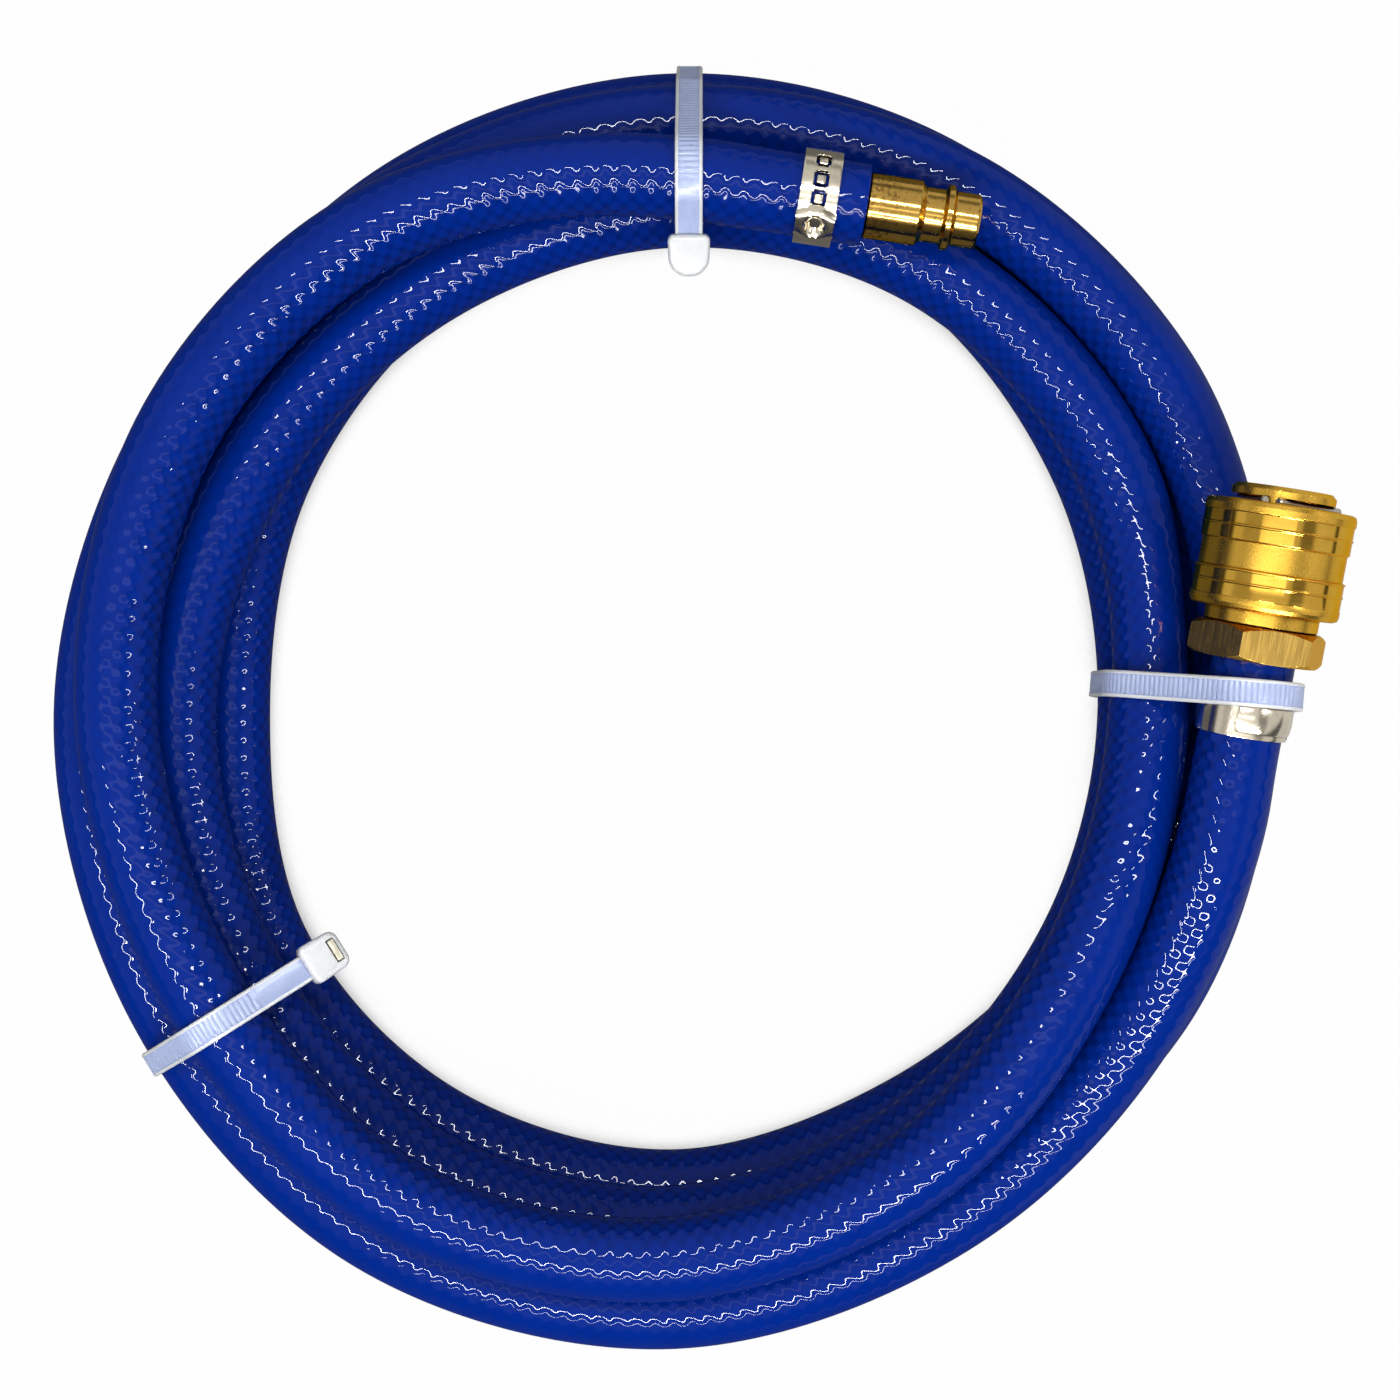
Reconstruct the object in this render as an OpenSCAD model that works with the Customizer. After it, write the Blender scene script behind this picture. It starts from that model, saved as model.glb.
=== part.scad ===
// Coiled air hose: plug on one end, quick coupler on the other, wound in
// three layers and held by three nylon ties. +Z is up, and the coil stands on
// the undersides of its ties at z = 0.

/* [Hose] */
// Outer diameter of the hose
hose_d = 15; // [14.4:0.1:15]
// Bore of the hose
hose_bore = 9; // [8.6:0.1:9.2]
// Height from one layer of turns to the next
layer_rise = 15.5; // [15.5:0.1:16.5]
// Straight run of hose over each barbed tail
straight_run = 20; // [18:1:24]

/* [Ties] */
// Width of a tie's strap
tie_w = 4.8; // [3.6:0.2:5.6]
// Thickness of a tie's strap
tie_t = 1.2; // [1:0.1:1.4]
// Slack between a tie and the hose
tie_slack = 0.3; // [0.3:0.05:0.5]

/* [Clamps] */
// Width of an ear clamp's band
clamp_w = 7; // [6:0.5:8]
// Thickness of an ear clamp's band
clamp_t = 0.6; // [0.5:0.1:0.7]
// Distance from the hose's end to the middle of a clamp's band
clamp_back = 9; // [8:0.5:11]

/* [Plug] */
// Diameter of the plug's tip
plug_tip_d = 10; // [9.9:0.05:10.1]
// Diameter of the plug's locking collar and of its body
plug_body_d = 12; // [11.8:0.1:12.2]
// Length of the plug outside the hose
plug_length = 21; // [20:0.5:22]

/* [Coupler] */
// Length of the coupler outside the hose
coupler_length = 31.5; // [31:0.1:32]
// Width across the flats of the coupler's hexagon
hex_flats = 22; // [21.8:0.1:23]
// Length of the hexagon
hex_length = 6.2; // [6:0.1:6.4]
// Diameter of the coupler's nose
nose_d = 18.7; // [18.6:0.1:18.8]
// Diameter of the sleeve's end bands
sleeve_d = 27; // [26.6:0.1:27.4]
// Length of the sleeve
sleeve_length = 19.5; // [19.4:0.1:19.6]
// Travel of the sleeve
sleeve_travel = 2.4; // [2:0.1:2.5]
// Travel of the valve
valve_travel = 3; // [2.5:0.5:3]

/* [Hidden] */
$fn = 64;

brass = [0.80, 0.62, 0.25];
steel = [0.72, 0.72, 0.73];
nylon = [0.90, 0.89, 0.85];
rubber = [0.10, 0.10, 0.11];
hose_blue = [0.05, 0.12, 0.55];

slack = 0.05;
cut = 0.01;

// ---- Route of the hose's centre line ----

// The coil's middle, set so that the whole object is centred on the origin
coil_middle = [-2.6, -2.2, 0];
lowest_centre = tie_t + tie_slack + hose_d / 2;

// One row for each turn, one value for each station: every 30 degrees from 90
station_step = 30;
stations = 12;
turn_radius = [
    [98.2, 104, 105, 103, 101.5, 104, 102, 96, 89, 90, 96.5, 97.5],
    [96, 93.5, 93.2, 95.3, 96.8, 100, 99.5, 94.5, 90, 91, 95.3, 101.7],
    [102.3, 98.3, 92.2, 88.2, 93.3, 95.3, 95.7, 93.3, 97, 108, 111.5, 117.5],
    [118.2, 114.2, 109, 104.3, 109.5, 111.7, 111.3, 109.5, 109.5, 108, 112.2, 113.5],
    [111.7, 109.2, 109, 111, 112.5, 115.7, 115.2, 110, 104.7]];
// Layer of each turn at the same stations: 0 lowest, 1 middle, 2 top
turn_layer = [
    [2.05, 2.04, 2, 2, 2, 2, 2, 2, 1.96, 1.4, 1, 1],
    [1, 1, 1, 1, 1, 1, 1, 1, 0.95, 0.35, 0, 0],
    [0, 0, 0, 0, 0, 0, 0, 0, 0, 0, 0, 0],
    [0, 0, 0, 0, 0, 0, 0, 0.1, 0.7, 1.08, 1, 1],
    [1, 1, 1, 1, 1, 1, 1, 1.15, 1.75]];

// Where the hose ends against the plug, and the way the plug points
plug_spot = [35.7, 92.8, lowest_centre + 2.05 * layer_rise];
plug_azimuth = -8.7;
plug_rise = 0;
// Where the hose ends against the coupler, and the way the coupler points
coupler_spot = [106.1, 8.75, 45.6];
coupler_azimuth = 81;
coupler_rise = 6;
// First station after the plug's straight run
first_angle = 100;
first_radius = 99.8;

function along(azimuth, rise) =
    [cos(azimuth) * cos(rise), sin(azimuth) * cos(rise), sin(rise)];
function unit(v) = v / norm(v);
function on_coil(radius, angle, layer) =
    [radius * cos(angle), radius * sin(angle), lowest_centre + layer * layer_rise];
function end_run(spot, way, distances) = [for (d = distances) spot - d * way];

plug_way = along(plug_azimuth, plug_rise);
coupler_way = along(coupler_azimuth, coupler_rise);
easing = 1.5 * straight_run;
knots = concat(
    end_run(plug_spot, plug_way, [0, straight_run, easing]),
    [on_coil(first_radius, first_angle, turn_layer[0][0])],
    [for (turn = [0 : len(turn_radius) - 1])
        for (s = [(turn == 0 ? 1 : 0) : len(turn_radius[turn]) - 1])
            on_coil(turn_radius[turn][s], 90 + station_step * s, turn_layer[turn][s])],
    end_run(coupler_spot, coupler_way, [easing, straight_run, 0]));
last_knot = len(knots) - 1;

// A smooth curve through the knots, with each slope weighted by the spans beside it
function span(i) = norm(knots[i + 1] - knots[i]);
function heading(i) = (knots[i + 1] - knots[i]) / span(i);
function slope(i) =
    i == 0 ? heading(0) :
    i == last_knot ? heading(last_knot - 1) :
    (heading(i) * span(i - 1) + heading(i - 1) * span(i)) / (span(i) + span(i - 1));
function curve(i, t) =
    (2 * t * t * t - 3 * t * t + 1) * knots[i]
    + (t * t * t - 2 * t * t + t) * span(i) * slope(i)
    + (3 * t * t - 2 * t * t * t) * knots[i + 1]
    + (t * t * t - t * t) * span(i) * slope(i + 1);

// Ring centres: two for each span of 30 degrees, which makes 24 for each loop
function steps(i) = span(i) > straight_run + 4 ? 2 : 1;
route = concat(
    [for (i = [0 : last_knot - 1]) for (k = [0 : steps(i) - 1]) curve(i, k / steps(i))],
    [knots[last_knot]]);
rings = len(route);

neighbours = 4;
least_gap = min([for (i = [0 : rings - 1 - neighbours]) for (j = [i + neighbours : rings - 1])
    norm(route[i] - route[j])]) - hose_d;

// ---- Hose ----

sides = 6;

function ring_way(i) =
    unit(route[min(i + 1, rings - 1)] - route[max(i - 1, 0)]);
function ring(i, radius) =
    let (way = ring_way(i), side = unit(cross(way, [0, 0, 1])), up = cross(side, way))
    [for (k = [0 : sides - 1])
        route[i] + radius * (cos(360 * k / sides) * side + sin(360 * k / sides) * up)];

function corner(r, k) = r * sides + (k + sides) % sides;
function strip(first, flip) =
    [for (r = [first : first + rings - 2]) for (k = [0 : sides - 1]) for (half = [0, 1])
        let (a = corner(r, k), b = corner(r, k + 1), c = corner(r + 1, k + 1), d = corner(r + 1, k))
        let (face = half == 0 ? [a, b, c] : [a, c, d])
        flip ? [face[2], face[1], face[0]] : face];
function end_cap(outer, inner, flip) =
    [for (k = [0 : sides - 1]) for (half = [0, 1])
        let (a = corner(outer, k), b = corner(outer, k + 1), c = corner(inner, k + 1), d = corner(inner, k))
        let (face = half == 0 ? [a, b, c] : [a, c, d])
        flip ? [face[2], face[1], face[0]] : face];

module hose() {
    echo(rings = rings, least_gap = least_gap);
    color(hose_blue)
        translate(coil_middle)
            polyhedron(
                points = [for (radius = [hose_d / 2, hose_bore / 2]) for (i = [0 : rings - 1])
                    each ring(i, radius)],
                faces = concat(
                    strip(0, false), strip(rings, true),
                    end_cap(0, rings, true), end_cap(rings - 1, 2 * rings - 1, false)),
                convexity = 10);
}

// ---- Shared shapes ----

// Puts a fitting on a hose end: its +Z points out of the hose and its +X up
module on_end(spot, azimuth, rise) {
    translate(coil_middle + spot)
        rotate([0, 90 - rise, azimuth])
            rotate([0, 0, 180])
                children();
}
module on_plug() {
    on_end(plug_spot, plug_azimuth, plug_rise) children();
}
module on_coupler() {
    on_end(coupler_spot, coupler_azimuth, coupler_rise) children();
}
// Ring or disc turned from an outline of [radius, height] points
module turned(outline) {
    rotate_extrude() polygon(outline);
}
module tube(outer_d, inner_d, from, to) {
    turned([[inner_d / 2, from], [outer_d / 2, from], [outer_d / 2, to], [inner_d / 2, to]]);
}

// ---- Barbed tails ----

tail_length = 19;
flow_bore = 5.5;
barb_root_d = 8.2;
barb_crest_d = 9.4;
barb_pitch = 4.5;
barbs = 4;

// Outline of a barbed tail that runs down from z = 0
function barb_outline() =
    concat(
        [[flow_bore / 2, 0], [flow_bore / 2, -tail_length], [barb_root_d / 2 - 0.5, -tail_length]],
        [for (n = [barbs - 1 : -1 : 0])
            each [
                [barb_root_d / 2, -(n + 1) * barb_pitch],
                [barb_crest_d / 2, -n * barb_pitch - 1.5],
                [barb_root_d / 2, -n * barb_pitch - 1.4]]],
        [[barb_root_d / 2, 0]]);

module barbed_tail() {
    turned(barb_outline());
}

// ---- Plug ----

plug_neck_d = 10;
plug_body_end = 9.7;
plug_neck_start = 10.7;
plug_neck_end = 14.1;
plug_collar_start = 14.7;
plug_collar_end = 15.7;
plug_tip_start = 16.3;
plug_chamfer = 0.5;

module plug() {
    outline = [
        [flow_bore / 2, -cut], [plug_body_d / 2 - 0.3, -cut], [plug_body_d / 2 - 0.3, 0],
        [plug_body_d / 2, 0.3],
        [plug_body_d / 2, plug_body_end],
        [plug_neck_d / 2, plug_neck_start],
        [plug_neck_d / 2, plug_neck_end],
        [plug_body_d / 2, plug_collar_start],
        [plug_body_d / 2, plug_collar_end],
        [plug_tip_d / 2, plug_tip_start],
        [plug_tip_d / 2, plug_length - plug_chamfer],
        [plug_tip_d / 2 - plug_chamfer, plug_length],
        [flow_bore / 2 + 0.6, plug_length],
        [flow_bore / 2, plug_length - 1.2]];
    color(brass)
        on_plug() {
            turned(outline);
            barbed_tail();
        }
}

// ---- Ear clamps ----

clamp_inner_d = hose_d + 2 * slack;
lap_d = clamp_inner_d + 2 * clamp_t;
clamp_outer_d = lap_d + 2 * clamp_t;
ear_out = 9.7;
ear_d = 5;
window_l = 2.4;
window_w = 2;
// Angles of the windows, measured back from the ear
window_angles = [36, 60, 88];

module clamp_window(angle, length, width) {
    rotate(-angle)
        translate([clamp_outer_d / 2 - clamp_t / 2, 0, 0])
            cube([2 * clamp_t, length, width], center = true);
}

// Ear clamp with its middle at z = 0. The band's outer end starts at lap_start.
module ear_clamp(ear_angle, lap_start, lap_sweep) {
    difference() {
        union() {
            tube(lap_d, clamp_inner_d, -clamp_w / 2, clamp_w / 2);
            rotate(lap_start)
                rotate_extrude(angle = lap_sweep)
                    translate([lap_d / 2 - cut, -clamp_w / 2])
                        square([clamp_t + cut, clamp_w]);
            rotate(ear_angle)
                translate([ear_out - ear_d / 2, 0, 0])
                    cylinder(d = ear_d, h = clamp_w, center = true);
        }
        cylinder(d = clamp_inner_d, h = clamp_w + 1, center = true);
        rotate(ear_angle) {
            translate([ear_out + 2.2, 0, 0]) sphere(d = 6);
            for (angle = window_angles) clamp_window(angle, window_l, window_w);
        }
    }
    rotate(ear_angle)
        for (angle = window_angles) clamp_window(angle, 0.5 * window_l, 0.6 * window_w);
}

module plug_clamp() {
    color(steel)
        on_plug()
            translate([0, 0, -clamp_back])
                ear_clamp(35, -75, 150);
}

// The coupler's clamp sits further back, under the edge of the tie
coupler_clamp_back = clamp_back + 2.5;
module coupler_clamp() {
    color(steel)
        on_coupler()
            translate([0, 0, -coupler_clamp_back])
                ear_clamp(215, 2, 190);
}

// ---- Coupler: heights are measured up from the hose's end ----

mouth = coupler_length;
neck_d = 20.5;
neck_top = 11.2;
body_thread_d = 16.4;
spigot_top = 9;
chamber_d = 11;
socket_d = 12.3;
socket_depth = 5.5;
tip_bore_d = 10.3;
seal_d = 13.4;
seal_top = mouth - 7.4;
seal_h = 2;
seat_top = mouth - 12;
valve_chamber_d = 14;
hex_angle = 34.5;

sleeve_front = mouth - 3.1;
sleeve_back = sleeve_front - sleeve_length;
sleeve_chamber_d = 22.9;
pin_recess_d = 23;
pin_recess_h = 0.5;
spring_lip_h = 3.4;
rear_lip_h = 1.8;

pin_d = 1.5;
pin_length = 16.8;
pin_radius = 6.1;
pin_out = 0.75;
pin_height = mouth - 2 - slack - pin_d / 2;
pin_angles = [36, -84, 156];
slot_floor = pin_radius - pin_d / 2 - slack;
slot_front = mouth - 2;

module hexagon_bar() {
    hex_corners = hex_flats / cos(30);
    intersection() {
        rotate(hex_angle) cylinder(d = hex_corners, h = hex_length, $fn = 6);
        turned([
            [0, 0], [hex_flats / 2, 0], [hex_corners / 2, 0.9],
            [hex_corners / 2, hex_length - 1.1], [hex_flats / 2 - 0.2, hex_length],
            [0, hex_length]]);
    }
}

module coupler_tail() {
    color(brass)
        on_coupler() {
            difference() {
                union() {
                    hexagon_bar();
                    translate([0, 0, hex_length - cut])
                        cylinder(d = body_thread_d, h = spigot_top - hex_length + cut);
                }
                turned([
                    [0, -1], [flow_bore / 2, -1], [flow_bore / 2, 2],
                    [chamber_d / 2, 4.2], [chamber_d / 2, spigot_top + 1], [0, spigot_top + 1]]);
            }
            barbed_tail();
        }
}

// Notch across the nose that one locking pin lies in, open to the outside
module pin_slot(angle) {
    rotate(angle)
        rotate([90, 0, 0])
            linear_extrude(height = nose_d + 4, center = true)
                polygon([
                    [slot_floor, slot_front],
                    [nose_d, slot_front],
                    [nose_d, pin_height - pin_d / 2 - sleeve_travel - 0.2],
                    [slot_floor + pin_out, pin_height - pin_d / 2 - sleeve_travel - 0.2],
                    [slot_floor, pin_height - pin_d / 2 - 0.15]]);
}

module coupler_body() {
    bottom = hex_length + slack;
    color(brass)
        on_coupler()
            difference() {
                turned([
                    [body_thread_d / 2 + slack, bottom],
                    [neck_d / 2 - 0.3, bottom],
                    [neck_d / 2, bottom + 0.3],
                    [neck_d / 2, neck_top],
                    [nose_d / 2, neck_top],
                    [nose_d / 2, mouth - 0.8],
                    [nose_d / 2 - 0.8, mouth],
                    [socket_d / 2 + 0.5, mouth],
                    [socket_d / 2, mouth - 0.5],
                    [socket_d / 2, mouth - socket_depth],
                    [tip_bore_d / 2, mouth - socket_depth - 0.3],
                    [tip_bore_d / 2, seal_top],
                    [seal_d / 2 + slack, seal_top],
                    [seal_d / 2 + slack, seal_top - seal_h - 2 * slack],
                    [tip_bore_d / 2, seal_top - seal_h - 2 * slack],
                    [tip_bore_d / 2, seat_top],
                    [valve_chamber_d / 2, seat_top],
                    [valve_chamber_d / 2, spigot_top + 1.6],
                    [body_thread_d / 2 + slack, spigot_top + 1.6]]);
                for (angle = pin_angles) pin_slot(angle);
            }
}

// Gasket between the spring seat and the body's inner step
module body_seal() {
    color(rubber)
        on_coupler()
            tube(body_thread_d - 0.4, valve_chamber_d, spigot_top + 0.95, spigot_top + 1.55);
}

module coupler_sleeve() {
    r = sleeve_d / 2;
    waist = r - 0.55;
    band = 2;
    groove = 0.25;
    back = sleeve_back;
    front = sleeve_front;
    color(brass)
        on_coupler()
            turned([
                [neck_d / 2 + 0.1, back],
                [r - 1, back], [r, back + 1.2],
                [r, back + 2 * band], [r - groove, back + 2 * band + groove],
                [r, back + 2 * band + 2 * groove],
                [r, back + 3 * band + groove], [r - groove, back + 3 * band + 2 * groove],
                [waist, back + 3 * band + 3 * groove],
                [waist, front - 3 * band - 4.2 * groove],
                [r, front - 3 * band - groove], [r - groove, front - 3 * band],
                [r, front - 3 * band + groove],
                [r, front - 2 * band], [r - groove, front - 2 * band + groove],
                [r, front - 2 * band + 2 * groove],
                [r, front - 0.9], [r - 0.9, front],
                [pin_recess_d / 2, front],
                [pin_recess_d / 2, front - pin_recess_h],
                [nose_d / 2 + 0.1, front - pin_recess_h],
                [nose_d / 2 + 0.1, front - spring_lip_h],
                [sleeve_chamber_d / 2, front - spring_lip_h],
                [sleeve_chamber_d / 2, back + rear_lip_h],
                [neck_d / 2 + 0.1, back + rear_lip_h]]);
}

module locking_pin(angle) {
    color(steel)
        on_coupler()
            rotate(angle)
                translate([pin_radius, 0, pin_height])
                    rotate([90, 0, 0])
                        turned([
                            [0, -pin_length / 2],
                            [pin_d / 2 - 0.2, -pin_length / 2],
                            [pin_d / 2, -pin_length / 2 + 0.2],
                            [pin_d / 2, pin_length / 2 - 0.2],
                            [pin_d / 2 - 0.2, pin_length / 2],
                            [0, pin_length / 2]]);
}
module locking_pin_outer() {
    locking_pin(pin_angles[0]);
}
module locking_pin_inner() {
    locking_pin(pin_angles[1]);
}
module locking_pin_under() {
    locking_pin(pin_angles[2]);
}

module plug_seal() {
    color(rubber)
        on_coupler()
            turned([
                [9.8 / 2, seal_top - seal_h / 2 - slack],
                [10.4 / 2, seal_top - seal_h - slack],
                [seal_d / 2, seal_top - seal_h - slack],
                [seal_d / 2, seal_top - slack],
                [10.4 / 2, seal_top - slack]]);
}

// ---- Valve ----

disc_d = 13;
disc_h = 1.8;
valve_seal_h = 1;
disc_top = seat_top - slack - valve_seal_h;
crown_d = 8.6;
crown_top = mouth - 7.5;
guide_d = 4;
guide_bottom = spigot_top - 1.4;

module valve_poppet() {
    window_h = 2.2;
    color(brass)
        on_coupler()
            difference() {
                turned([
                    [0, guide_bottom],
                    [guide_d / 2, guide_bottom],
                    [guide_d / 2, disc_top - disc_h],
                    [disc_d / 2, disc_top - disc_h],
                    [disc_d / 2, disc_top],
                    [crown_d / 2, disc_top],
                    [crown_d / 2, crown_top],
                    [crown_d / 2 - 1.2, crown_top],
                    [crown_d / 2 - 1.2, disc_top + 0.4],
                    [0, disc_top + 0.4]]);
                for (turn = [0, 90])
                    rotate(turn)
                        translate([0, 0, disc_top + 1.2 + window_h / 2])
                            cube([crown_d + 2, 3.6, window_h], center = true);
            }
}

module valve_seal() {
    color(rubber)
        on_coupler()
            tube(disc_d - 0.4, crown_d + 2 * slack, disc_top + slack / 2, seat_top - slack / 2);
}

// Pierced plate on the spigot that carries the valve's spring and guides its stem
module spring_seat() {
    color(steel)
        on_coupler()
            difference() {
                tube(body_thread_d - 0.4, guide_d + 3 * slack, spigot_top + slack, spigot_top + 0.9);
                for (turn = [0 : 60 : 300])
                    rotate(turn)
                        translate([3.6, 0, spigot_top])
                            cylinder(d = 2.3, h = 3, center = true);
            }
}

// ---- Springs ----

curl_rings = 8;
function spring_ring(i, mean_d, from, pitch, wire_d) =
    let (turn = 360 * i / curl_rings, radial = [cos(turn), sin(turn), 0])
    [for (k = [0 : sides - 1])
        radial * (mean_d / 2 + wire_d / 2 * cos(360 * k / sides))
        + [0, 0, from + pitch * i / curl_rings + wire_d / 2 * sin(360 * k / sides)]];

// Round wire wound up a cylinder, between the heights that its wire just clears
module coil_spring(mean_d, wire_d, from, to, curls) {
    count = curls * curl_rings + 1;
    pitch = (to - from - wire_d) / curls;
    points = [for (i = [0 : count - 1]) each spring_ring(i, mean_d, from + wire_d / 2, pitch, wire_d)];
    side_faces = [for (i = [0 : count - 2]) for (k = [0 : sides - 1]) for (half = [0, 1])
        let (a = corner(i, k), b = corner(i, k + 1), c = corner(i + 1, k + 1), d = corner(i + 1, k))
        half == 0 ? [a, b, c] : [a, c, d]];
    bottom_face = [for (k = [1 : sides - 2]) [0, k + 1, k]];
    top_face = [for (k = [1 : sides - 2]) [0, k, k + 1] + corner(count - 1, 0) * [1, 1, 1]];
    polyhedron(points = points, faces = concat(side_faces, bottom_face, top_face), convexity = 10);
}

module sleeve_spring() {
    color(steel)
        on_coupler()
            coil_spring(21.5, 1, neck_top + slack, sleeve_front - spring_lip_h - slack, 5);
}
module valve_spring() {
    color(steel)
        on_coupler()
            coil_spring(11.4, 0.8, spigot_top + 0.9 + slack, disc_top - disc_h - slack, 3);
}

// ---- Ties ----

// Where the hose passes through an upright plane, as [distance along it, height]
function passes(spot, azimuth) =
    let (out = along(azimuth, 0), across = along(azimuth + 90, 0))
    [for (i = [0 : rings - 2])
        let (a = (route[i] - spot) * across, b = (route[i + 1] - spot) * across)
        let (p = route[i] + (route[i + 1] - route[i]) * a / (a - b))
        if (a <= 0 && b > 0 && p * out > 0) [(p - spot) * out, p.z]];

head_l = 7.6;
head_w = 7.4;
head_t = 5.6;
stub = 1.2;

// Loop that a tie makes: round every pass of the hose, and out to its own head.
// A pass that is higher than the layers lies over a clamp, so the loop is wider there.
module tie_loop(middles, tip, clear) {
    hull() {
        for (p = middles)
            translate(p)
                circle(d = hose_d + 2 * clear + (p.y > lowest_centre + 2.1 * layer_rise ? 1.6 : 0), $fn = 32);
        translate(tip) circle(d = 1 + 2 * clear, $fn = 32);
    }
}

// Strap round the turns in an upright plane, with its head at a spot in that plane
module tie(spot, azimuth, head_spot, head_angle, tip) {
    edge = tie_w / 2 * along(azimuth + 90, 0);
    middles = concat(passes(spot - edge, azimuth), passes(spot + edge, azimuth));
    color(nylon)
        translate(coil_middle + spot)
            rotate([90, 0, azimuth]) {
                linear_extrude(height = tie_w, center = true)
                    difference() {
                        tie_loop(middles, tip, tie_slack + tie_t);
                        tie_loop(middles, tip, tie_slack);
                    }
                translate(head_spot)
                    rotate(head_angle) {
                        cube([head_l, head_t, head_w], center = true);
                        translate([0, head_t / 2, 0])
                            cube([tie_t, 2 * stub, tie_w], center = true);
                    }
            }
}

module tie_top() {
    tie([3, 0, 0], 90, [83.6, 41], 15, [86, 40]);
}
module tie_left() {
    tie([2.7, -4.1, 0], 212, [79.8, 38], 20, [82, 37]);
}
module tie_right() {
    tie([0, 11.8, 0], -5, [119.6, 12], -90, [112, 12]);
}

hose();
plug();
plug_clamp();
coupler_clamp();
coupler_tail();
coupler_body();
body_seal();
coupler_sleeve();
sleeve_spring();
locking_pin_outer();
locking_pin_inner();
locking_pin_under();
plug_seal();
valve_poppet();
valve_seal();
valve_spring();
spring_seat();
tie_top();
tie_left();
tie_right();
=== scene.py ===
"""Coiled air hose with a plug, a quick coupler, two ear clamps and three nylon ties."""
from math import atan2, ceil, cos, degrees, pi, radians, sin, tau
import bmesh
import bpy
from mathutils import Matrix, Vector


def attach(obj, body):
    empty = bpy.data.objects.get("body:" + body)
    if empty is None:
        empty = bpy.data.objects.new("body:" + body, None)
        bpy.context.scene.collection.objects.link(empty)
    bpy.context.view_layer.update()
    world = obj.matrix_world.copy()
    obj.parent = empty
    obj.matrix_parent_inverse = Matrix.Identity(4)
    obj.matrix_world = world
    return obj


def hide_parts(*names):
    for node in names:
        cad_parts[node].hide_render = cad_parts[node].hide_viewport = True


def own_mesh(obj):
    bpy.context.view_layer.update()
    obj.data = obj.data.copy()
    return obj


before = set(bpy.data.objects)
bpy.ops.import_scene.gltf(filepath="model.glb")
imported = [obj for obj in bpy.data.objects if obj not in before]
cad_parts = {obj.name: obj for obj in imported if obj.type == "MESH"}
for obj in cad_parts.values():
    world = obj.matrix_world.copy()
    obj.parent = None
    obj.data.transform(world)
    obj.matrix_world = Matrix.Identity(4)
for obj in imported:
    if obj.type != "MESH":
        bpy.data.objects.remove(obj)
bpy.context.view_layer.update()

bl_info = {
    "name": "Coiled air hose",
    "version": (1, 0, 0),
    "blender": (4, 5, 0),
    "location": "View3D > Sidebar > Air hose",
    "description": "Dresses the packed coiled air hose with detailed pieces and finishes",
    "category": "Object",
}

# Sizes are in millimetres, and turn into metres when a piece is finished.
MM = 0.001
ROOT = "hose_and_fittings"

# ---- Route of the hose ----

HOSE_D = 15.0
HOSE_BORE = 9.0
LOWEST_CENTRE = 9.0
LAYER_RISE = 15.5
COIL_MIDDLE = Vector((-2.6, -2.2, 0.0))
STATION_STEP = 30
# One row for each turn, one value every 30 degrees from 90
TURN_RADIUS = (
    (98.2, 104, 105, 103, 101.5, 104, 102, 96, 89, 90, 96.5, 97.5),
    (96, 93.5, 93.2, 95.3, 96.8, 100, 99.5, 94.5, 90, 91, 95.3, 101.7),
    (102.3, 98.3, 92.2, 88.2, 93.3, 95.3, 95.7, 93.3, 97, 108, 111.5, 117.5),
    (118.2, 114.2, 109, 104.3, 109.5, 111.7, 111.3, 109.5, 109.5, 108, 112.2, 113.5),
    (111.7, 109.2, 109, 111, 112.5, 115.7, 115.2, 110, 104.7),
)
# 0 is the lowest layer and 2 the top one
TURN_LAYER = (
    (2.05, 2.04, 2, 2, 2, 2, 2, 2, 1.96, 1.4, 1, 1),
    (1, 1, 1, 1, 1, 1, 1, 1, 0.95, 0.35, 0, 0),
    (0, 0, 0, 0, 0, 0, 0, 0, 0, 0, 0, 0),
    (0, 0, 0, 0, 0, 0, 0, 0.1, 0.7, 1.08, 1, 1),
    (1, 1, 1, 1, 1, 1, 1, 1.15, 1.75),
)
FIRST_ANGLE = 100
FIRST_RADIUS = 99.8
END_RUNS = (0, 20, 30)
PLUG_END = (Vector((35.7, 92.8, LOWEST_CENTRE + 2.05 * LAYER_RISE)), -8.7, 0.0)
COUPLER_END = (Vector((106.1, 8.75, 45.6)), 81.0, 6.0)


def way_of(azimuth, rise=0.0):
    """Unit direction of an azimuth and a rise above the horizon, in degrees."""
    a, r = radians(azimuth), radians(rise)
    return Vector((cos(a) * cos(r), sin(a) * cos(r), sin(r)))


def on_coil(radius, angle, layer):
    """Spot on the coil by its radius, its angle and its layer."""
    a = radians(angle)
    return Vector((radius * cos(a), radius * sin(a), LOWEST_CENTRE + layer * LAYER_RISE))


def route_knots():
    """Points that the hose's centre line goes through, from the plug to the coupler."""
    plug_way = way_of(*PLUG_END[1:])
    coupler_way = way_of(*COUPLER_END[1:])
    knots = [PLUG_END[0] - d * plug_way for d in END_RUNS]
    knots.append(on_coil(FIRST_RADIUS, FIRST_ANGLE, TURN_LAYER[0][0]))
    for turn, (radii, layers) in enumerate(zip(TURN_RADIUS, TURN_LAYER)):
        for s, (radius, layer) in enumerate(zip(radii, layers)):
            if turn or s:
                knots.append(on_coil(radius, 90 + STATION_STEP * s, layer))
    knots += [COUPLER_END[0] - d * coupler_way for d in reversed(END_RUNS)]
    return [k + COIL_MIDDLE for k in knots]


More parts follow.
